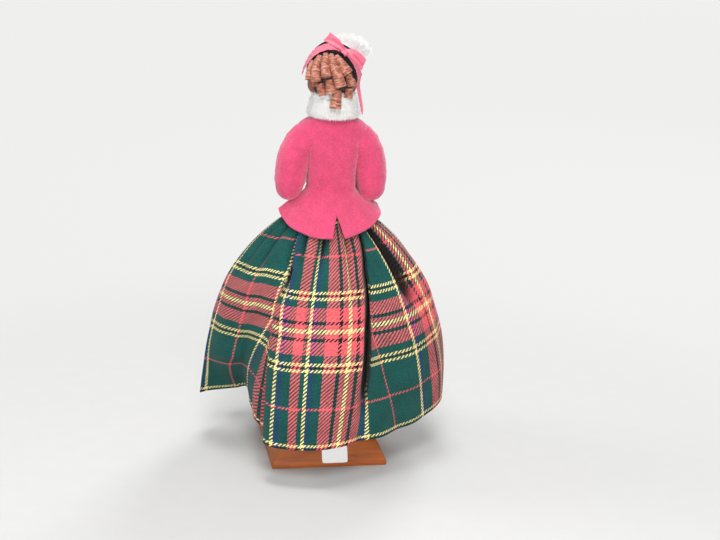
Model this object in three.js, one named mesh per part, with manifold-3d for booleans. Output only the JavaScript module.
// Caroler doll standing on a bevelled wooden base: wire figure, padded felt jacket, tartan skirt, bonnet.
// Millimetres, +Z up. The doll faces -Y, her left hand is on +X, the origin is the middle of the underside.
import * as THREE from 'three';
import { mergeVertices } from 'three/addons/utils/BufferGeometryUtils.js';
import Module from 'manifold-3d';

const wasm = await Module();
wasm.setup();

// Driving dimensions

const GAP = 0.3; // clearance wherever two pieces meet

// wooden base and its paper label
const BASE_SIDE = 90;
const BASE_RIM = 3.5; // upright edge below the bevel
const BASE_HEIGHT = 19;
const BASE_INSET = 7.5; // how far the bevel draws in on each side
const LABEL_WIDTH = 20;
const LABEL_HEIGHT = 13;
const LABEL_THICKNESS = 0.4;
const LABEL_CORNER = 1.5;
const LABEL_SHIFT = 4; // towards the doll's right

// wire figure, boots and legs
const WIRE_RADIUS = 1;
const WIRE_IN_BASE = 14;
const WIRE_IN_BODY = 22; // leg wire pushed up into the wound body
const FOOT_SPREAD = 10; // leg axis from the middle
const BOOT_HEIGHT = 40;
const BOOT_SHAFT_RADIUS = 6.4;
const BOOT_FOOT_LENGTH = 26;
const BOOT_FOOT_WIDTH = 11;
const BOOT_FOOT_HEIGHT = 11;
const BOOT_HEEL = 6.5; // heel behind the leg axis
const BOOT_SOLE = 2;
const LEG_RADIUS_LOW = 5.2;
const LEG_RADIUS_HIGH = 7.6;

// wound body and jacket, heights from the waist
const LEG_HEIGHT = 189; // base top to waist
const HIP_DROP = 44; // waist to the underside of the wound body
const HIP_HALF_WIDTH = 18.5;
const HIP_HALF_DEPTH = 13;
const BAND_THICKNESS = 1.5;
const BAND_HEIGHT = 7;
const WAIST_HALF_WIDTH = 19;
const WAIST_HALF_DEPTH = 14.5;
const BUST_RISE = 28;
const BUST_HALF_WIDTH = 21.5;
const BUST_HALF_DEPTH = 18;
const SHOULDER_RISE = 36;
const SHOULDER_HALF_WIDTH = 25.5;
const SHOULDER_HALF_DEPTH = 16;
const NECK_RISE = 59; // waist to the neck edge of the jacket
const NECK_HALF_WIDTH = 11.5;
const JACKET_THICKNESS = 2.4;

// jacket skirt with its back slit
const PEPLUM_RADIUS = 40;
const PEPLUM_SIDE_DROP = 16.5; // waist to hem at the hips
const PEPLUM_BACK_DROP = 25;
const PEPLUM_SLIT = 13;
const PEPLUM_SLIT_WIDTH = 9;
const FELT_THICKNESS = 1.6;

// tartan skirt over its petticoat
const SKIRT_HEM_RADIUS = 88;
const SKIRT_HEM_HEIGHT = 13; // hem above the base top
const SKIRT_HEM_LIFT = 13; // extra rise of the hem on the doll's left
const SKIRT_LIFT_ANGLE = -98; // degrees from the middle of the back, where the hem is highest
const SKIRT_THICKNESS = 1.2;
const SKIRT_BELL = 3; // how quickly the skirt swells below the waist
const SKIRT_FOLD_GROWTH = 1.05;
const PETTICOAT_HEM_RADIUS = 54;
const PETTICOAT_HEM_HEIGHT = 27;
const PETTICOAT_RIPPLE = 2;
const PETTICOAT_RIPPLES = 12;
const PETTICOAT_THICKNESS = 1;

// Folds of the skirt, one row for each crest, valley or turn: where the hem lies in degrees from the middle
// of the back towards the doll's right, how far it is outside the mean hem radius, where the same thread
// leaves the waistband in degrees, how late it leaves its pleat, and how deep the pleat is drawn in.
const SKIRT_FOLDS = [
  [-19, 0, -12, 1, 0], [-11, 1, -4, 1, 0], [-1, -1.5, 8, 1, 0], [10, -10, 23, 1, 9], [22, -14, 24.2, 3, 12],
  [41, -16, 25.2, 2.2, 13], [58, -14, 26.6, 1.4, 11], [76, -3, 41, 1, 0], [88, 3, 58, 1, 0],
  [100, -4, 76, 1, 0], [117, 6, 98, 1, 0], [134, -9, 122, 1, 0], [152, 5, 146, 1, 0], [170, -7, 169, 1, 0],
  [188, 7, 190, 1, 0], [205, -9, 210, 1, 0], [224, 7, 228, 1, 0], [240, -2, 244, 1, 0], [256, 9, 263, 1, 0],
  [263.5, -22, 276, 1, 3], [271, -27, 298, 1, 3], [300, -22, 309, 1, 0], [309, -17, 315, 1, 3],
  [318, -22, 321, 1, 3], [323, 5, 327, 1, 0], [332, 1, 336, 1, 0], [341, 0, 348, 1, 0],
];
const SKIRT_COLUMN_STEP = 6; // most degrees of hem between two columns of the skirt's mesh

// fur collar
const COLLAR_RADIUS = 20.3;
const COLLAR_TOP_RADIUS = 18.8;
const COLLAR_RISE = 17.5; // neck edge of the jacket to the collar's top edge
const COLLAR_FRONT_DIP = 8;
const COLLAR_OVERLAP = 2.5; // how far it comes down over the jacket

// head, neck and hair
const HEAD_RISE = 30; // neck edge of the jacket to the middle of the head
const HEAD_FORWARD = 2;
const HEAD_TURN = 9; // degrees towards the doll's right, as it stands
const HEAD_HALF_WIDTH = 14.5;
const HEAD_HALF_DEPTH = 16.5;
const HEAD_HALF_HEIGHT = 19.5;
const NECK_RADIUS = 6;
const NOSE_LENGTH = 2.2;
const HAIR_THICKNESS = 2.6;
const HAIRLINE_RISE = 11; // middle of the head up to the hairline
const RINGLET_RADIUS = 3.2;
const RINGLET_ROOT_RADIUS = 1.5;
const RINGLET_STEP = 21; // degrees between neighbours
const NAPE_RINGLET_RADIUS = 3.6;
const NAPE_RINGLET_LENGTH = 9.5;

// bonnet, ribbon and feather
const BONNET_TILT = 31; // degrees, top of the bonnet leaning back
const BONNET_THICKNESS = 1.4;
const BONNET_CROWN_DEPTH = 5; // how far the crown reaches down the back of the hair
const BONNET_BRIM_DEPTH = 11.5;
const BONNET_FLARE = 0.6; // how much wider the brim is at its front edge
const BONNET_HALF_ARC = 108; // degrees from the top to each end of the brim
const RIBBON_WIDTH = 6;
const RIBBON_THICKNESS = 0.5;
const RIBBON_HALF_ARC = 98;
const BOW_ANGLE = 19; // degrees from the top towards the doll's right
const KNOT_RADIUS = 2.2;
const BOW_LOOP_LENGTH = 9;
const BOW_TAIL_LENGTH = 19;
const TIE_RADIUS = 22.6; // tie end from the neck's axis, clear of the collar
const TIE_DROP = 27; // tie end below the middle of the head
const FEATHER_LENGTH = 14;
const FEATHER_HALF_HEIGHT = 7.5;
const FEATHER_HALF_THICKNESS = 2.2;
const QUILL_LENGTH = 3;
const QUILL_RADIUS = 0.7;

// arms
const SHOULDER_HALF_SPAN = 27;
const SHOULDER_BALL_RADIUS = 12.2;
const UPPER_ARM = 32;
const ARM_SPLAY = 9; // degrees outwards
const ELBOW_RADIUS = 11;
const SLEEVE_WALL = 1.2; // sleeve rim round the elbow
const ELBOW_LAP = 5; // sleeve rim above the elbow's middle
const ELBOW_FLEX = 100; // degrees from straight, as it stands
const ELBOW_FLEX_ROOM = 10; // further bend that the sleeves leave free
const FOREARM = 42;
const WRIST_RADIUS = 7;
const LEFT_TURN_IN = 14; // degrees, forearm towards the middle
const RIGHT_TURN_IN = 8;
const HAND_LENGTH = 17;
const HAND_HALF_WIDTH = 4.8;
const HAND_HALF_THICKNESS = 3.4;
const WIRE_IN_HAND = 8;

// song book in the left hand
const BOOK_LEAF_WIDTH = 12;
const BOOK_HEIGHT = 16;
const BOOK_COVER_THICKNESS = 0.8;
const BOOK_PAGES_THICKNESS = 1.2;
const BOOK_OPENING = 130; // degrees between the two leaves
const BOOK_LEAN = 54; // degrees, top away from the doll

// Heights and radii worked out from those

const degrees = THREE.MathUtils.degToRad;
const WAIST = BASE_HEIGHT + LEG_HEIGHT;
const SHOULDER = WAIST + SHOULDER_RISE;
const NECK = WAIST + NECK_RISE;
const HEAD = NECK + HEAD_RISE;
const BODY_BOTTOM = WAIST - HIP_DROP;
const WIRE_HOLE = WIRE_RADIUS + GAP;
const COLLAR_TOP = NECK + COLLAR_RISE;

// Solids: closed meshes are welded for booleans and handed back as plain geometry

function toSolid(geometry) {
  const bare = geometry.clone();
  bare.deleteAttribute('normal');
  bare.deleteAttribute('uv');
  const welded = mergeVertices(bare, 1e-4);
  const index = welded.index.array;
  const corners = [];
  for (let i = 0; i < index.length; i += 3) {
    const [a, b, c] = [index[i], index[i + 1], index[i + 2]];
    if (a !== b && b !== c && c !== a) corners.push(a, b, c);
  }
  return new wasm.Manifold(
    new wasm.Mesh({
      numProp: 3,
      vertProperties: welded.attributes.position.array,
      triVerts: new Uint32Array(corners),
    }),
  );
}

function toGeometry(solid) {
  const mesh = solid.getMesh();
  const geometry = new THREE.BufferGeometry();
  geometry.setAttribute('position', new THREE.BufferAttribute(mesh.vertProperties.slice(), 3));
  geometry.setIndex(new THREE.BufferAttribute(mesh.triVerts.slice(), 1));
  geometry.computeVertexNormals();
  return geometry;
}

function cut(geometry, ...tools) {
  return toGeometry(tools.reduce((solid, tool) => solid.subtract(toSolid(tool)), toSolid(geometry)));
}

function join(...pieces) {
  return toGeometry(pieces.map(toSolid).reduce((all, piece) => all.add(piece)));
}

function keepInside(geometry, tool) {
  return toGeometry(toSolid(geometry).intersect(toSolid(tool)));
}

// Basic shapes, with their axes along Z

function turned(profile, segments) {
  const points = profile.map(([radius, height]) => new THREE.Vector2(radius, height));
  return new THREE.LatheGeometry(points, segments).rotateX(Math.PI / 2);
}

function rod(radius, low, high, sides = 10) {
  const shape = new THREE.CylinderGeometry(radius, radius, high - low, sides).rotateX(Math.PI / 2);
  return shape.translate(0, 0, (low + high) / 2);
}

function ellipsoid(halfWidth, halfDepth, halfHeight, segments = 20) {
  const shape = new THREE.SphereGeometry(1, segments, Math.round(segments * 0.6)).rotateX(Math.PI / 2);
  return shape.scale(halfWidth, halfDepth, halfHeight);
}

function block(width, depth, height) {
  return new THREE.BoxGeometry(width, depth, height);
}

// Skin through a row of rings with the same number of points. Seen from the last ring, each ring runs
// counter-clockwise. The ends are closed by flat fans, or the last ring joins the first.
function loft(rings, closedLoop = false) {
  const sides = rings[0].length;
  const points = rings.flat();
  const index = [];
  const spans = closedLoop ? rings.length : rings.length - 1;
  for (let row = 0; row < spans; row++) {
    const next = (row + 1) % rings.length;
    for (let side = 0; side < sides; side++) {
      const following = (side + 1) % sides;
      const [a, b] = [row * sides + side, row * sides + following];
      const [c, d] = [next * sides + side, next * sides + following];
      index.push(a, b, d, a, d, c);
    }
  }
  if (!closedLoop) {
    const last = (rings.length - 1) * sides;
    const middle = (ring) => ring.reduce((sum, p) => sum.add(p), new THREE.Vector3()).divideScalar(sides);
    const bottom = points.push(middle(rings[0])) - 1;
    const top = points.push(middle(rings[rings.length - 1])) - 1;
    for (let side = 0; side < sides; side++) {
      const following = (side + 1) % sides;
      index.push(bottom, following, side, top, last + side, last + following);
    }
  }
  const geometry = new THREE.BufferGeometry().setFromPoints(points);
  geometry.setIndex(index);
  return geometry;
}

// Points round the doll: the angle runs from the middle of the back towards her right.
function around(radiusX, radiusY, angle, z) {
  return new THREE.Vector3(-radiusX * Math.sin(angle), radiusY * Math.cos(angle), z);
}

function ovalRing(radiusX, radiusY, z, sides) {
  return Array.from({ length: sides }, (_, i) => around(radiusX, radiusY, (i * 2 * Math.PI) / sides, z));
}

// Flat ribbon along a curve. Its width lies along `across` as far as the curve allows, and each end can
// be drawn in.
function strip(points, across, width, thickness, steps, [firstShare, lastShare] = [1, 1]) {
  const curve = new THREE.CatmullRomCurve3(points);
  const rings = [];
  for (let i = 0; i <= steps; i++) {
    const u = i / steps;
    const along = curve.getTangentAt(u);
    const side = across.clone().addScaledVector(along, -across.dot(along)).normalize();
    const drawnIn = Math.min(1, firstShare + 3 * u, lastShare + 3 * (1 - u));
    const face = new THREE.Vector3().crossVectors(along, side);
    const middle = curve.getPointAt(u);
    const [half, thin] = [(width * drawnIn) / 2, thickness / 2];
    const corner = (w, t) => middle.clone().addScaledVector(side, w * half).addScaledVector(face, t * thin);
    rings.push([corner(1, 1), corner(-1, 1), corner(-1, -1), corner(1, -1)]);
  }
  return loft(rings);
}

// Materials

function finish(colour, roughness, metalness = 0) {
  return new THREE.MeshStandardMaterial({ color: colour, roughness, metalness });
}

const WOOD = finish(0x8a4a22, 0.45);
const PAPER = finish(0xf4f2ec, 0.8);
const WIRE = finish(0x8d9094, 0.4, 1);
const BOOT_BLACK = finish(0x17151a, 0.5);
const WRAP = finish(0xe9e2d4, 0.9);
const COTTON = finish(0xf3efe6, 0.9);
const TARTAN = finish(0x1d4a3c, 0.9);
const FELT = finish(0xe23a63, 0.95);
const FUR = finish(0xfbf9f4, 1);
const SKIN = finish(0xe8b896, 0.6);
const HAIR = finish(0x8a4630, 0.5);
const VELVET = finish(0x0d0b0d, 0.9);
const SATIN = finish(0xd8415f, 0.35);
const PLUME = finish(0xfaf8f2, 0.9);
const BOARD = finish(0x7a1f2b, 0.6);

function piece(name, geometry, material, parent) {
  const mesh = new THREE.Mesh(geometry, material);
  mesh.name = name;
  parent.add(mesh);
  return mesh;
}

const doll = new THREE.Group();
const SIDES = { left: 1, right: -1 };

// Wooden base: a square block with an upright rim and steep bevels, drilled for the two leg wires

function woodenBase() {
  const corner = Math.SQRT1_2 * BASE_SIDE;
  const topCorner = corner - Math.SQRT2 * BASE_INSET;
  const profile = [[0, 0], [corner, 0], [corner, BASE_RIM], [topCorner, BASE_HEIGHT], [0, BASE_HEIGHT]];
  const blank = turned(profile, 4).rotateZ(Math.PI / 4);
  const bottom = BASE_HEIGHT - WIRE_IN_BASE - GAP;
  const holes = Object.values(SIDES).map((side) =>
    rod(WIRE_HOLE, bottom, BASE_HEIGHT + 1).translate(side * FOOT_SPREAD, 0, 0),
  );
  return cut(blank, ...holes);
}
piece('base_block', woodenBase(), WOOD, doll);

// Blank paper label with round corners, stuck on the back bevel just above the rim

function paperLabel() {
  const [w, h, r] = [LABEL_WIDTH / 2, LABEL_HEIGHT, LABEL_CORNER];
  const outline = new THREE.Shape();
  outline.moveTo(-w + r, 0).lineTo(w - r, 0).absarc(w - r, r, r, -Math.PI / 2, 0);
  outline.lineTo(w, h - r).absarc(w - r, h - r, r, 0, Math.PI / 2);
  outline.lineTo(-w + r, h).absarc(-w + r, h - r, r, Math.PI / 2, Math.PI);
  outline.lineTo(-w, r).absarc(-w + r, r, r, Math.PI, Math.PI * 1.5);
  const paper = { depth: LABEL_THICKNESS, bevelEnabled: false, curveSegments: 3 };
  return new THREE.ExtrudeGeometry(outline, paper);
}
const bevelSlope = Math.atan2(BASE_HEIGHT - BASE_RIM, BASE_INSET);
const label = piece('blank_label', paperLabel(), PAPER, doll);
label.rotation.set(bevelSlope, 0, Math.PI, 'ZYX');
const labelTilt = Math.PI / 2 - bevelSlope;
const labelLift = new THREE.Vector3(0, GAP, 0).applyAxisAngle(new THREE.Vector3(1, 0, 0), labelTilt);
label.position.set(-LABEL_SHIFT, BASE_SIDE / 2, BASE_RIM).add(labelLift);

// Boots, leg wires and wound legs

function boot() {
  const shaft = turned(
    [[0, BOOT_SOLE], [BOOT_SHAFT_RADIUS - 1, BOOT_SOLE], [BOOT_SHAFT_RADIUS - 1.2, BOOT_FOOT_HEIGHT],
      [BOOT_SHAFT_RADIUS, BOOT_HEIGHT - 2], [BOOT_SHAFT_RADIUS, BOOT_HEIGHT], [0, BOOT_HEIGHT]],
    16,
  );
  const middle = BOOT_HEEL - BOOT_FOOT_LENGTH / 2;
  const foot = ellipsoid(BOOT_FOOT_WIDTH / 2, BOOT_FOOT_LENGTH / 2, BOOT_FOOT_HEIGHT, 18);
  foot.translate(0, middle, 0);
  const upper = keepInside(foot, block(60, 60, 60).translate(0, 0, 30 + BOOT_SOLE / 2));
  const sole = new THREE.CylinderGeometry(1, 1, BOOT_SOLE, 18).rotateX(Math.PI / 2);
  sole.scale(BOOT_FOOT_WIDTH / 2 + 0.4, BOOT_FOOT_LENGTH / 2 + 0.4, 1).translate(0, middle, BOOT_SOLE / 2);
  return cut(join(shaft, upper, sole), rod(WIRE_HOLE, -1, BOOT_HEIGHT + 1));
}

const bootTop = BASE_HEIGHT + GAP + BOOT_HEIGHT;
for (const [name, side] of Object.entries(SIDES)) {
  const leg = new THREE.Group();
  leg.position.x = side * FOOT_SPREAD;
  doll.add(leg);
  piece(`${name}_boot`, boot(), BOOT_BLACK, leg).position.z = BASE_HEIGHT + GAP;
  const legWire = rod(WIRE_RADIUS, BASE_HEIGHT - WIRE_IN_BASE, BODY_BOTTOM + WIRE_IN_BODY);
  piece(`${name}_leg_wire`, legWire, WIRE, leg);
  const [low, high] = [bootTop + GAP, BODY_BOTTOM - GAP];
  const wrap = turned(
    [[WIRE_HOLE, low], [LEG_RADIUS_LOW, low], [LEG_RADIUS_HIGH, (low + high) / 2], [LEG_RADIUS_HIGH, high],
      [WIRE_HOLE, high], [WIRE_HOLE, low]],
    14,
  );
  piece(`${name}_leg_wrap`, wrap, WRAP, leg);
}

// Jacket outline: each point holds half width, half depth and height. The same curve shapes the wound
// body inside it, so the two always fit.

const jacketOutline = new THREE.CatmullRomCurve3([
  new THREE.Vector3(WAIST_HALF_WIDTH, WAIST_HALF_DEPTH, WAIST),
  new THREE.Vector3(
    (WAIST_HALF_WIDTH + BUST_HALF_WIDTH) / 2 - 0.5, (WAIST_HALF_DEPTH + BUST_HALF_DEPTH) / 2,
    WAIST + BUST_RISE / 2),
  new THREE.Vector3(BUST_HALF_WIDTH, BUST_HALF_DEPTH, WAIST + BUST_RISE),
  new THREE.Vector3(SHOULDER_HALF_WIDTH, SHOULDER_HALF_DEPTH, SHOULDER + (NECK - SHOULDER) / 3),
  new THREE.Vector3(
    (SHOULDER_HALF_WIDTH + NECK_HALF_WIDTH) / 2 + 2, (SHOULDER_HALF_DEPTH + NECK_HALF_WIDTH) / 2,
    NECK - (NECK - SHOULDER) / 5),
  new THREE.Vector3(NECK_HALF_WIDTH, NECK_HALF_WIDTH, NECK),
]);

function jacketRings(offset, sides = 24, steps = 9) {
  const stations = jacketOutline.getPoints(steps);
  return stations.map((p) => ovalRing(p.x + offset, p.y + offset, p.z, sides));
}

// Room for the ball of each padded sleeve
function shoulderSockets() {
  const room = SHOULDER_BALL_RADIUS + 2 * GAP;
  return Object.values(SIDES).map((side) =>
    ellipsoid(room, room, room, 18).translate(side * SHOULDER_HALF_SPAN, 0, SHOULDER),
  );
}

// Wound paper body: hips below the waist, then the inside of the jacket, with bores for the wires

const bodyInset = JACKET_THICKNESS + 2 * GAP;
const shoulderWireBehind = 2 * WIRE_HOLE;

function woundBody() {
  const hipRings = [
    ovalRing(HIP_HALF_WIDTH - 2, HIP_HALF_DEPTH - 2, BODY_BOTTOM, 24),
    ovalRing(HIP_HALF_WIDTH, HIP_HALF_DEPTH, BODY_BOTTOM + HIP_DROP / 3, 24),
    ovalRing(WAIST_HALF_WIDTH - bodyInset, WAIST_HALF_DEPTH - bodyInset, WAIST - BAND_HEIGHT - 3, 24),
  ];
  const neckBore = rod(NECK_RADIUS + GAP, NECK - 5, NECK + 5, 16);
  const rings = [...hipRings, ...jacketRings(-bodyInset)];
  const legBores = Object.values(SIDES).map((side) =>
    rod(WIRE_HOLE, BODY_BOTTOM - 1, BODY_BOTTOM + WIRE_IN_BODY + GAP).translate(side * FOOT_SPREAD, 0, 0),
  );
  const spineBore = rod(WIRE_HOLE, BODY_BOTTOM + HIP_DROP / 4 - GAP, NECK + 5);
  const crossBore = rod(WIRE_HOLE, -SHOULDER_HALF_SPAN, SHOULDER_HALF_SPAN).rotateY(Math.PI / 2);
  crossBore.translate(0, shoulderWireBehind, SHOULDER);
  return cut(loft(rings), ...legBores, spineBore, crossBore, neckBore, ...shoulderSockets());
}
piece('torso_padding', woundBody(), WRAP, doll);
piece('spine_wire', rod(WIRE_RADIUS, BODY_BOTTOM + HIP_DROP / 4, HEAD), WIRE, doll);

const shoulderWireHalf = SHOULDER_HALF_SPAN - SHOULDER_BALL_RADIUS - 2 * GAP;
const shoulderWire = rod(WIRE_RADIUS, -shoulderWireHalf, shoulderWireHalf).rotateY(Math.PI / 2);
piece('shoulder_wire', shoulderWire, WIRE, doll).position.set(0, shoulderWireBehind, SHOULDER);

// Jacket body: a felt shell from waist to neck edge with two armholes

function jacketBody() {
  const outer = jacketRings(0);
  const inner = jacketRings(-JACKET_THICKNESS).reverse();
  return cut(loft([...outer, ...inner], true), ...shoulderSockets());
}
piece('jacket_bodice', jacketBody(), FELT, doll);

// Jacket skirt: a flared felt ring with a V slit in the middle of the back

const peplumTop = WAIST - GAP;

function peplumRing(t, inset, sides = 48) {
  return Array.from({ length: sides }, (_, i) => {
    const angle = (i * 2 * Math.PI) / sides;
    const backness = Math.cos(angle) ** 2;
    const drop = PEPLUM_SIDE_DROP + (PEPLUM_BACK_DROP - PEPLUM_SIDE_DROP) * backness;
    const radius = (waistRadius) => THREE.MathUtils.lerp(waistRadius, PEPLUM_RADIUS, t ** 1.1) - inset;
    return around(radius(WAIST_HALF_WIDTH), radius(WAIST_HALF_DEPTH), angle, peplumTop - t * drop);
  });
}

function jacketPeplum() {
  const levels = [1, 0.75, 0.5, 0.25, 0];
  const outer = levels.map((t) => peplumRing(t, 0));
  const inner = levels.map((t) => peplumRing(t, FELT_THICKNESS)).reverse();
  const slit = new THREE.Shape();
  const slitBottom = peplumTop - PEPLUM_BACK_DROP - 1;
  slit.moveTo(0, slitBottom + PEPLUM_SLIT).lineTo(-PEPLUM_SLIT_WIDTH / 2, slitBottom);
  slit.lineTo(PEPLUM_SLIT_WIDTH / 2, slitBottom);
  const wedge = new THREE.ExtrudeGeometry(slit, { depth: 2 * PEPLUM_RADIUS, bevelEnabled: false });
  wedge.rotateX(Math.PI / 2).translate(0, 2 * PEPLUM_RADIUS, 0);
  return cut(loft([...outer, ...inner], true), wedge);
}
piece('jacket_peplum', jacketPeplum(), FELT, doll);

// Skirt waistband, sewn round the wound body under the jacket skirt

const bandInner = [WAIST_HALF_WIDTH - bodyInset + GAP, WAIST_HALF_DEPTH - bodyInset + GAP];
const bandTop = WAIST - 2;
const bandBottom = bandTop - BAND_HEIGHT;

function waistband() {
  const ring = (offset, z) => ovalRing(bandInner[0] + offset, bandInner[1] + offset, z, 32);
  const outside = [ring(BAND_THICKNESS, bandBottom), ring(BAND_THICKNESS, bandTop)];
  return loft([...outside, ring(0, bandTop), ring(0, bandBottom)], true);
}
piece('skirt_waistband', waistband(), TARTAN, doll);

// Tartan skirt: gathered into the waistband, swelling out to a hem with deep folds, and drawn into a deep
// pleat right of the middle of the back

const skirtTop = bandBottom - GAP;
const skirtColumns = SKIRT_FOLDS.slice(0, -1).flatMap((fold, i) => {
  const next = SKIRT_FOLDS[i + 1];
  const steps = Math.ceil((next[0] - fold[0]) / SKIRT_COLUMN_STEP);
  return Array.from({ length: steps }, (_, step) => {
    const share = step / steps;
    const [hem, offset, waist, release, pleat] = fold.map((value, k) =>
      THREE.MathUtils.lerp(value, next[k], k === 1 ? THREE.MathUtils.smoothstep(share, 0, 1) : share),
    );
    return { hem: degrees(hem), offset, waist: degrees(waist), release, pleat };
  });
});

function skirtRing(t) {
  const swell = 1 - (1 - t) ** SKIRT_BELL;
  const pleatShown = THREE.MathUtils.smoothstep(t, 0, 0.1) * (1 - THREE.MathUtils.smoothstep(t, 0.45, 0.9));
  return skirtColumns.map(({ hem, offset, waist, release, pleat }) => {
    const angle = THREE.MathUtils.lerp(waist, hem, t ** release);
    const fold = offset * t ** SKIRT_FOLD_GROWTH - pleat * pleatShown;
    const radius = (band) => THREE.MathUtils.lerp(band + SKIRT_THICKNESS, SKIRT_HEM_RADIUS, swell) + fold;
    const lift = SKIRT_HEM_LIFT * Math.max(0, Math.cos(hem - degrees(SKIRT_LIFT_ANGLE))) ** 2;
    const height = THREE.MathUtils.lerp(skirtTop, BASE_HEIGHT + SKIRT_HEM_HEIGHT + lift, t);
    return around(radius(bandInner[0]), radius(bandInner[1]), angle, height);
  });
}

// The same ring one cloth thickness further in
function insideRing(ring) {
  return ring.map((point, i) => {
    const ahead = ring[(i + 1) % ring.length].clone().sub(ring[(i + ring.length - 1) % ring.length]);
    const inward = new THREE.Vector3(-ahead.y, ahead.x, 0).normalize();
    return point.clone().addScaledVector(inward, SKIRT_THICKNESS);
  });
}

function tartanSkirt() {
  const levels = [1, 0.82, 0.64, 0.46, 0.3, 0.17, 0.07, 0];
  const outer = levels.map(skirtRing);
  const inner = outer.map(insideRing).reverse();
  return loft([...outer, ...inner], true);
}
piece('skirt', tartanSkirt(), TARTAN, doll);

// Petticoat: a plain cotton bell under the skirt that holds it out

function petticoatRing(t, inset, sides = 48) {
  return Array.from({ length: sides }, (_, i) => {
    const angle = (i * 2 * Math.PI) / sides;
    const ripple = PETTICOAT_RIPPLE * t * Math.cos(PETTICOAT_RIPPLES * angle);
    const outward = PETTICOAT_THICKNESS - inset + ripple;
    const radius = (hip) => THREE.MathUtils.lerp(hip + GAP, PETTICOAT_HEM_RADIUS, t) + outward;
    const low = BASE_HEIGHT + PETTICOAT_HEM_HEIGHT;
    const z = THREE.MathUtils.lerp(BODY_BOTTOM + HIP_DROP / 3, low, t);
    return around(radius(HIP_HALF_WIDTH), radius(HIP_HALF_DEPTH), angle, z);
  });
}

function petticoat() {
  const levels = [1, 0.75, 0.5, 0.25, 0];
  const outer = levels.map((t) => petticoatRing(t, 0));
  const inner = levels.map((t) => petticoatRing(t, PETTICOAT_THICKNESS)).reverse();
  return loft([...outer, ...inner], true);
}
piece('petticoat', petticoat(), COTTON, doll);

// Fur collar: a soft ring standing on the shoulders, lower under the chin

function headRadiusAt(z) {
  const rise = Math.min(1, Math.abs(z - HEAD) / HEAD_HALF_HEIGHT);
  return HEAD_FORWARD + HEAD_HALF_DEPTH * Math.sqrt(1 - rise ** 2);
}

function furCollar() {
  const sides = 36;
  const ring = (radius, height, dipShare) =>
    Array.from({ length: sides }, (_, i) => {
      const angle = (i * 2 * Math.PI) / sides;
      const front = Math.max(0, -Math.cos(angle)) ** 2;
      return around(radius, radius, angle, height - COLLAR_FRONT_DIP * front * dipShare);
    });
  const low = NECK - COLLAR_OVERLAP;
  const neckRoom = NECK_RADIUS + 2;
  const jawRoom = headRadiusAt(COLLAR_TOP) + 2 * GAP;
  const rings = [
    ring(COLLAR_RADIUS - 1.5, low, 0),
    ring(COLLAR_RADIUS, low + COLLAR_OVERLAP / 2, 0.1),
    ring(COLLAR_RADIUS, NECK + COLLAR_RISE * 0.3, 0.4),
    ring((COLLAR_RADIUS + COLLAR_TOP_RADIUS) / 2, NECK + COLLAR_RISE * 0.7, 0.8),
    ring(COLLAR_TOP_RADIUS, COLLAR_TOP - 1, 1),
    ring((COLLAR_TOP_RADIUS + jawRoom) / 2, COLLAR_TOP, 1),
    ring(jawRoom, COLLAR_TOP - 0.6, 1),
    ring(headRadiusAt(NECK + COLLAR_RISE * 0.75) + 2 * GAP, NECK + COLLAR_RISE * 0.75, 0.8),
    ring(neckRoom, NECK + COLLAR_RISE * 0.3, 0.3),
    ring(neckRoom, low, 0),
  ];
  return cut(loft(rings, true), loft(jacketRings(GAP)).translate(0, 0, GAP));
}
piece('fur_collar', furCollar(), FUR, doll);

// Head: turns on the spine wire. Everything from here up to the arms moves with it.

const head = new THREE.Group();
head.rotation.z = -degrees(HEAD_TURN);
head.position.set(0, -HEAD_FORWARD, HEAD).applyAxisAngle(new THREE.Vector3(0, 0, 1), head.rotation.z);
doll.add(head);

function clayHead() {
  const skull = ellipsoid(HEAD_HALF_WIDTH, HEAD_HALF_DEPTH, HEAD_HALF_HEIGHT);
  const neckLow = NECK - HEAD - 5 + GAP;
  const neck = rod(NECK_RADIUS, neckLow, -HEAD_HALF_HEIGHT / 2, 16).translate(0, HEAD_FORWARD, 0);
  const nose = ellipsoid(1.9, NOSE_LENGTH, 3.2, 10).translate(0, -HEAD_HALF_DEPTH, -3.5);
  const bore = rod(WIRE_HOLE, neckLow - 1, GAP).translate(0, HEAD_FORWARD, 0);
  return cut(join(skull, neck, nose), bore);
}
piece('head', clayHead(), SKIN, head);

const hairHalf = [HEAD_HALF_WIDTH, HEAD_HALF_DEPTH, HEAD_HALF_HEIGHT].map((half) => half + HAIR_THICKNESS);
const hairBottom = COLLAR_TOP + 2 * GAP - HEAD;

function hairCap() {
  const scalp = ellipsoid(HEAD_HALF_WIDTH + GAP, HEAD_HALF_DEPTH + GAP, HEAD_HALF_HEIGHT + GAP);
  const faceHeight = HAIRLINE_RISE + HEAD_HALF_HEIGHT;
  const face = ellipsoid(HEAD_HALF_WIDTH - 1, HEAD_HALF_DEPTH - 3, faceHeight / 2);
  face.translate(0, -HEAD_HALF_DEPTH - 1, HAIRLINE_RISE - faceHeight / 2);
  const below = block(100, 100, 60).translate(0, 0, hairBottom - 30);
  return cut(ellipsoid(...hairHalf), scalp, face, below);
}
piece('hair_cap', hairCap(), HAIR, head);

// Ringlets: tapered curls laid down the back of the hair in two tiers, and one over the collar

function onHair(latitude, longitude, lift) {
  const [a, b, c] = hairHalf.map((half) => half + lift);
  const flat = Math.cos(degrees(latitude));
  return around(a * flat, b * flat, degrees(longitude), c * Math.sin(degrees(latitude)));
}

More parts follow.
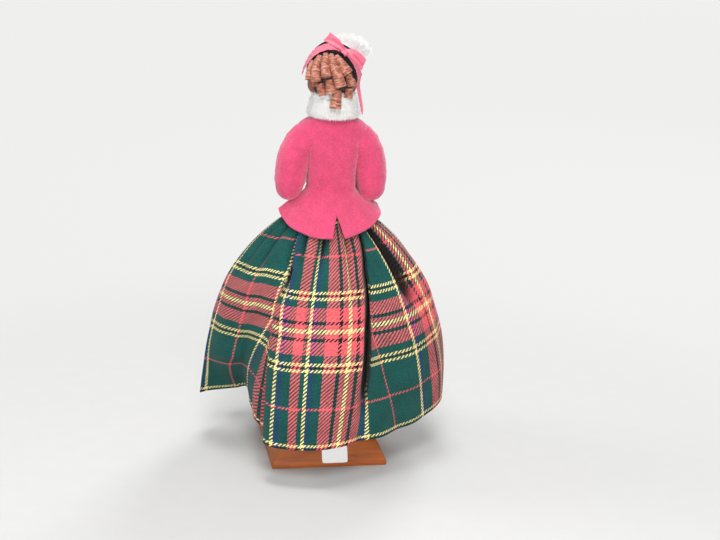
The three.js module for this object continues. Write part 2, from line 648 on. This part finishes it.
function taperedCurl(curve, radiusAt, steps = 7, sides = 9) {
  const rings = [];
  for (let i = 0; i <= steps; i++) {
    const u = i / steps;
    const along = curve.getTangentAt(u);
    const out = new THREE.Vector3(0, 1, 0).addScaledVector(along, -along.y).normalize();
    const side = new THREE.Vector3().crossVectors(along, out);
    const middle = curve.getPointAt(u);
    rings.push(
      Array.from({ length: sides }, (_, k) => {
        const angle = (k * 2 * Math.PI) / sides;
        const spoke = out.clone().multiplyScalar(Math.cos(angle)).addScaledVector(side, Math.sin(angle));
        return middle.clone().addScaledVector(spoke, radiusAt(u));
      }),
    );
  }
  return loft(rings);
}

// Highest latitude at which a curl's root still clears the bonnet's crown
function crownEdge(longitude) {
  const tilt = degrees(BONNET_TILT);
  const backward = Math.cos(tilt) * hairHalf[1] * Math.cos(degrees(longitude));
  const upward = Math.sin(tilt) * hairHalf[2];
  const clear = BONNET_CROWN_DEPTH + RINGLET_ROOT_RADIUS + 4 * GAP;
  const latitude = Math.acos(clear / Math.hypot(backward, upward)) - Math.atan2(upward, backward);
  return THREE.MathUtils.radToDeg(latitude);
}

const RINGLET_TIERS = [
  { tier: 'upper', count: 6, from: crownEdge, to: 4, outerDrop: 4, standOff: 1.2 },
  { tier: 'middle', count: 5, from: () => -4, to: -22, outerDrop: 0, standOff: 0.8 },
];
for (const { tier, count, from, to, outerDrop, standOff } of RINGLET_TIERS) {
  for (let i = 0; i < count; i++) {
    const place = i - (count - 1) / 2;
    const longitude = place * RINGLET_STEP;
    const [high, low] = [from(longitude), to - outerDrop * (place / ((count - 1) / 2)) ** 4];
    const radiusAt = (u) => THREE.MathUtils.lerp(RINGLET_ROOT_RADIUS, RINGLET_RADIUS, Math.sqrt(u));
    const path = [0, 0.35, 0.7, 1].map((u) => {
      const lift = radiusAt(u) + GAP + standOff * u * u;
      return onHair(THREE.MathUtils.lerp(high, low, u), longitude, lift);
    });
    piece(`ringlet_${tier}_${i + 1}`, taperedCurl(new THREE.CatmullRomCurve3(path), radiusAt), HAIR, head);
  }
}

function napeRinglet() {
  const out = COLLAR_RADIUS + 2 * GAP + NAPE_RINGLET_RADIUS + HEAD_FORWARD;
  const high = hairBottom + 1.6;
  const path = new THREE.CatmullRomCurve3([
    new THREE.Vector3(-2, out - 1, high),
    new THREE.Vector3(-2.5, out, high - NAPE_RINGLET_LENGTH / 2),
    new THREE.Vector3(-3, out + 0.5, high - NAPE_RINGLET_LENGTH),
  ]);
  return taperedCurl(path, (u) => THREE.MathUtils.lerp(NAPE_RINGLET_RADIUS - 0.8, NAPE_RINGLET_RADIUS, u));
}
piece('ringlet_nape', napeRinglet(), HAIR, head);

// Bonnet: a crown band round the back of the head and a brim that flares towards the face. Both are
// swept from ear to ear about an axis that leans back with the bonnet.

const bonnetAxis = new THREE.Vector3(0, Math.cos(degrees(BONNET_TILT)), -Math.sin(degrees(BONNET_TILT)));
const bonnetUp = new THREE.Vector3(0, Math.sin(degrees(BONNET_TILT)), Math.cos(degrees(BONNET_TILT)));

function bonnetSpoke(angle) {
  return bonnetUp.clone().multiplyScalar(Math.cos(angle)).add(new THREE.Vector3(-Math.sin(angle), 0, 0));
}

// Distance from the bonnet's axis to the hair along a spoke, `back` behind the middle of the head
function hairReach(angle, back) {
  const size = new THREE.Vector3(...hairHalf);
  const start = bonnetAxis.clone().multiplyScalar(back).divide(size);
  const along = bonnetSpoke(angle).divide(size);
  const [a, b, c] = [along.dot(along), start.dot(along), start.dot(start) - 1];
  return (-b + Math.sqrt(b * b - a * c)) / a;
}

function bonnetPoint(angle, back, lift) {
  const flare = (BONNET_FLARE * Math.max(0, -back)) / BONNET_BRIM_DEPTH;
  const reach = hairReach(angle, Math.max(0, back)) + 2 * GAP + BONNET_THICKNESS + flare + lift;
  return bonnetSpoke(angle).multiplyScalar(reach).addScaledVector(bonnetAxis, back);
}

function bonnetBand(stations, halfArc, lift, thickness, steps = 22) {
  const rings = [];
  for (let i = 0; i <= steps; i++) {
    const angle = degrees(THREE.MathUtils.lerp(-halfArc, halfArc, i / steps));
    const outside = stations.map((back) => bonnetPoint(angle, back, lift));
    const inside = stations.map((back) => bonnetPoint(angle, back, lift - thickness)).reverse();
    rings.push([...inside, ...outside]);
  }
  return loft(rings);
}

const brimStations = [-BONNET_BRIM_DEPTH, -BONNET_BRIM_DEPTH / 2, -GAP / 2];
piece('bonnet_brim', bonnetBand(brimStations, BONNET_HALF_ARC, 0, BONNET_THICKNESS), VELVET, head);
const crownStations = [GAP / 2, BONNET_CROWN_DEPTH / 2, BONNET_CROWN_DEPTH];
piece('bonnet_crown', bonnetBand(crownStations, BONNET_HALF_ARC, 0, BONNET_THICKNESS), VELVET, head);

// Satin ribbon round the brim, with a bow on the doll's right and one long tie end

const ribbonLift = GAP + RIBBON_THICKNESS;
const ribbonStations = [-GAP - RIBBON_WIDTH, -GAP - RIBBON_WIDTH / 2, -GAP];
const ribbonBand = bonnetBand(ribbonStations, RIBBON_HALF_ARC, ribbonLift, RIBBON_THICKNESS);
piece('ribbon_band', ribbonBand, SATIN, head);

const knotPlace = bonnetPoint(degrees(BOW_ANGLE), -RIBBON_WIDTH / 2, ribbonLift + GAP + KNOT_RADIUS);
const knot = ellipsoid(KNOT_RADIUS, KNOT_RADIUS, KNOT_RADIUS, 14);
piece('bow_knot', knot, SATIN, head).position.copy(knotPlace);

function fromKnot(x, y, z) {
  return new THREE.Vector3(x, y, z).add(knotPlace);
}

function bowLoop() {
  const [low, wide, far] = [KNOT_RADIUS + 2 * GAP, 2.6, BOW_LOOP_LENGTH];
  const path = [
    fromKnot(0.6, wide / 2 - 0.6, low), fromKnot(far * 0.3, wide, far * 0.55),
    fromKnot(far * 0.62, wide * 0.7, far * 0.92), fromKnot(far * 0.7, 0, far),
    fromKnot(far * 0.5, -wide * 0.7, far * 0.9), fromKnot(far * 0.2, -wide, far * 0.6),
    fromKnot(-0.4, -wide / 2 + 0.4, low + 0.4),
  ];
  return strip(path, new THREE.Vector3(-0.8, 0, 0.6), RIBBON_WIDTH, RIBBON_THICKNESS, 16, [0.3, 0.3]);
}
piece('bow_loop', bowLoop(), SATIN, head);

function bowTail() {
  const far = BOW_TAIL_LENGTH;
  const path = [
    fromKnot(-KNOT_RADIUS - 2 * GAP, 1.2, -0.6), fromKnot(-far * 0.35, 3.4, -far * 0.25),
    fromKnot(-far * 0.65, 3.2, -far * 0.52), fromKnot(-far * 0.82, 2.4, -far * 0.8),
  ];
  return strip(path, new THREE.Vector3(0.6, 0.35, 0.7), RIBBON_WIDTH, RIBBON_THICKNESS, 10, [0.3, 1]);
}
piece('bow_tail', bowTail(), SATIN, head);

// The tie end leaves the ribbon's end by the right ear and hangs down outside the collar
function tieEnd() {
  const earLift = ribbonLift;
  const ear = bonnetPoint(degrees(RIBBON_HALF_ARC + 7), -GAP - RIBBON_WIDTH / 2, earLift);
  const out = TIE_RADIUS;
  const path = [
    ear,
    new THREE.Vector3(-out, ear.y + 2, ear.z - 5),
    new THREE.Vector3(-out, ear.y + 5, (ear.z - TIE_DROP) / 2),
    new THREE.Vector3(-out + 0.5, ear.y + 9, -TIE_DROP),
  ];
  return strip(path, new THREE.Vector3(0, 1, 0.2), RIBBON_WIDTH, RIBBON_THICKNESS, 10);
}
piece('tie_end', tieEnd(), SATIN, head);

// Feather: a bare quill tucked under the bow and a plume that curls over the brim

const quillStart = fromKnot(-0.8, -2.7, 2);
const quillWay = new THREE.Vector3(-0.93, -0.1, 0.35).normalize();
const quill = rod(QUILL_RADIUS, 0, QUILL_LENGTH, 8);
quill.applyQuaternion(new THREE.Quaternion().setFromUnitVectors(new THREE.Vector3(0, 0, 1), quillWay));
piece('feather_quill', quill, PLUME, head).position.copy(quillStart);

function plume() {
  const start = quillStart.clone().addScaledVector(quillWay, QUILL_LENGTH + 2 * GAP);
  const steps = 10;
  const rings = [];
  for (let i = 0; i <= steps; i++) {
    const u = i / steps;
    const middle = start.clone().add(new THREE.Vector3(-FEATHER_LENGTH * u, 1.5 * u, 2 * u - 5 * u * u));
    const width = Math.sqrt(Math.sin(Math.PI * (0.06 + 0.9 * u)));
    const ring = [];
    for (let k = 0; k < 12; k++) {
      const angle = (k * Math.PI) / 6;
      const rise = FEATHER_HALF_HEIGHT * width * Math.cos(angle);
      const outward = FEATHER_HALF_THICKNESS * width * Math.sin(angle);
      ring.push(middle.clone().add(new THREE.Vector3(0, outward, rise)));
    }
    rings.push(ring);
  }
  return loft(rings);
}
piece('feather_plume', plume(), PLUME, head);

// Arms: padded sleeves over wires. Each upper sleeve is a ball in the jacket's armhole and a cup over the
// elbow, flat where it lies against the side. Both sleeves are trimmed inside the elbow so it can bend.

const elbowRim = -UPPER_ARM + ELBOW_LAP;
const sleeveRadius = ELBOW_RADIUS + 1.5 * GAP + SLEEVE_WALL;
const sideClearance = BUST_HALF_WIDTH + 3 * GAP;

function elbowTrim(alongArm) {
  const far = 90;
  const slope = Math.tan(degrees((180 - ELBOW_FLEX - ELBOW_FLEX_ROOM) / 2));
  const outline = new THREE.Shape();
  outline.moveTo(-GAP, 0).lineTo(far, 0).lineTo(far, far).lineTo(far * slope - GAP, far);
  const wedge = new THREE.ExtrudeGeometry(outline, { depth: 2 * far, bevelEnabled: false });
  wedge.translate(0, 0, -far);
  const along = new THREE.Vector3(0, 0, alongArm);
  const across = along.clone().cross(new THREE.Vector3(0, 1, 0));
  return wedge.applyMatrix4(new THREE.Matrix4().makeBasis(new THREE.Vector3(0, -1, 0), along, across));
}

function upperSleeve(side, turnIn) {
  const tube = turned(
    [[0, elbowRim], [sleeveRadius, elbowRim], [sleeveRadius - 0.2, elbowRim / 2],
      [SHOULDER_BALL_RADIUS * 0.92, -SHOULDER_BALL_RADIUS * 0.39], [0, 0]],
    20,
  );
  const flank = block(100, 200, 200).translate(side * (sideClearance - SHOULDER_HALF_SPAN - 50), 0, 0);
  const ball = ellipsoid(SHOULDER_BALL_RADIUS, SHOULDER_BALL_RADIUS, SHOULDER_BALL_RADIUS, 20);
  const room = ELBOW_RADIUS + 1.5 * GAP;
  const elbow = ellipsoid(room, room, room, 20).translate(0, 0, -UPPER_ARM);
  const trim = elbowTrim(1).rotateZ(-side * degrees(turnIn)).translate(0, 0, -UPPER_ARM);
  const bore = rod(WIRE_HOLE, -UPPER_ARM, SHOULDER_BALL_RADIUS / 2 + GAP);
  return cut(join(cut(tube, flank.rotateY(side * degrees(ARM_SPLAY))), ball), elbow, trim, bore);
}

function lowerSleeve() {
  const profile = [[0, -FOREARM], [WRIST_RADIUS, -FOREARM], [ELBOW_RADIUS * 0.9, -FOREARM / 2]];
  for (let i = -2; i <= 8; i++) {
    const angle = (i * Math.PI) / 16;
    profile.push([ELBOW_RADIUS * Math.cos(angle), ELBOW_RADIUS * Math.sin(angle)]);
  }
  profile[profile.length - 1][0] = 0;
  return cut(turned(profile, 20), elbowTrim(-1), rod(WIRE_HOLE, -FOREARM - 1, -ELBOW_RADIUS / 3 + GAP));
}

function hand(side) {
  const stations = [[0, 0.72], [0.25, 0.9], [0.55, 1], [0.8, 0.8], [1, 0.35]];
  const rings = stations.map(([along, swell]) =>
    ovalRing(HAND_HALF_WIDTH * swell, HAND_HALF_THICKNESS * swell, -along * HAND_LENGTH, 14),
  );
  const thumb = ellipsoid(1.6, 1.6, HAND_LENGTH * 0.28, 10).rotateY(side * degrees(24));
  thumb.translate(-side * (HAND_HALF_WIDTH + 0.4), -0.8, -HAND_LENGTH * 0.45);
  return cut(join(loft(rings.reverse()), thumb), rod(WIRE_HOLE, -WIRE_IN_HAND - GAP, 1));
}

function arm(name, side, turnIn) {
  const upper = new THREE.Group();
  upper.position.set(side * SHOULDER_HALF_SPAN, 0, SHOULDER);
  upper.rotation.y = -side * degrees(ARM_SPLAY);
  doll.add(upper);
  piece(`${name}_upper_sleeve`, upperSleeve(side, turnIn), FELT, upper);
  const wireLow = -UPPER_ARM + ELBOW_RADIUS + 2 * GAP;
  piece(`${name}_upper_arm_wire`, rod(WIRE_RADIUS, wireLow, SHOULDER_BALL_RADIUS / 2), WIRE, upper);
  const lower = new THREE.Group();
  lower.position.z = -UPPER_ARM;
  lower.rotation.set(-degrees(ELBOW_FLEX), 0, -side * degrees(turnIn), 'ZYX');
  upper.add(lower);
  piece(`${name}_lower_sleeve`, lowerSleeve(), FELT, lower);
  piece(`${name}_forearm_wire`, rod(WIRE_RADIUS, -FOREARM - WIRE_IN_HAND, -ELBOW_RADIUS / 3), WIRE, lower);
  piece(`${name}_hand`, hand(side), SKIN, lower).position.z = -FOREARM - GAP;
  return lower;
}

const leftForearm = arm('left', SIDES.left, LEFT_TURN_IN);
arm('right', SIDES.right, RIGHT_TURN_IN);

// Song book: two boards hinged at the spine with a block of blank leaves on each, open on the left hand

function openBook(inset, low, high) {
  const half = degrees(BOOK_OPENING / 2);
  const [out, back] = [Math.sin(half), Math.cos(half)];
  const width = BOOK_LEAF_WIDTH - inset;
  const spine = (depth) => [0, depth / Math.sin(half)];
  const edge = (side, depth) => [side * (width * out - depth * back), width * back + depth * out];
  const outline = new THREE.Shape();
  outline.moveTo(...spine(low)).lineTo(...edge(1, low)).lineTo(...edge(1, high));
  outline.lineTo(...spine(high)).lineTo(...edge(-1, high)).lineTo(...edge(-1, low));
  const height = BOOK_HEIGHT - 2 * inset;
  return new THREE.ExtrudeGeometry(outline, { depth: height, bevelEnabled: false }).translate(0, 0, inset);
}

const book = new THREE.Group();
const uprightTurn = new THREE.Quaternion();
doll.updateMatrixWorld(true);
leftForearm.getWorldQuaternion(uprightTurn).invert();
book.quaternion.copy(uprightTurn);
book.rotateX(degrees(BOOK_LEAN));
book.position.set(0, -HAND_HALF_THICKNESS - 2 * GAP, -FOREARM - GAP - HAND_LENGTH * 0.62);
leftForearm.add(book);
piece('songbook_cover', openBook(0, 0, BOOK_COVER_THICKNESS), BOARD, book);
const pagesLow = BOOK_COVER_THICKNESS + GAP;
piece('songbook_pages', openBook(0.8, pagesLow, pagesLow + BOOK_PAGES_THICKNESS), PAPER, book);

export default doll;
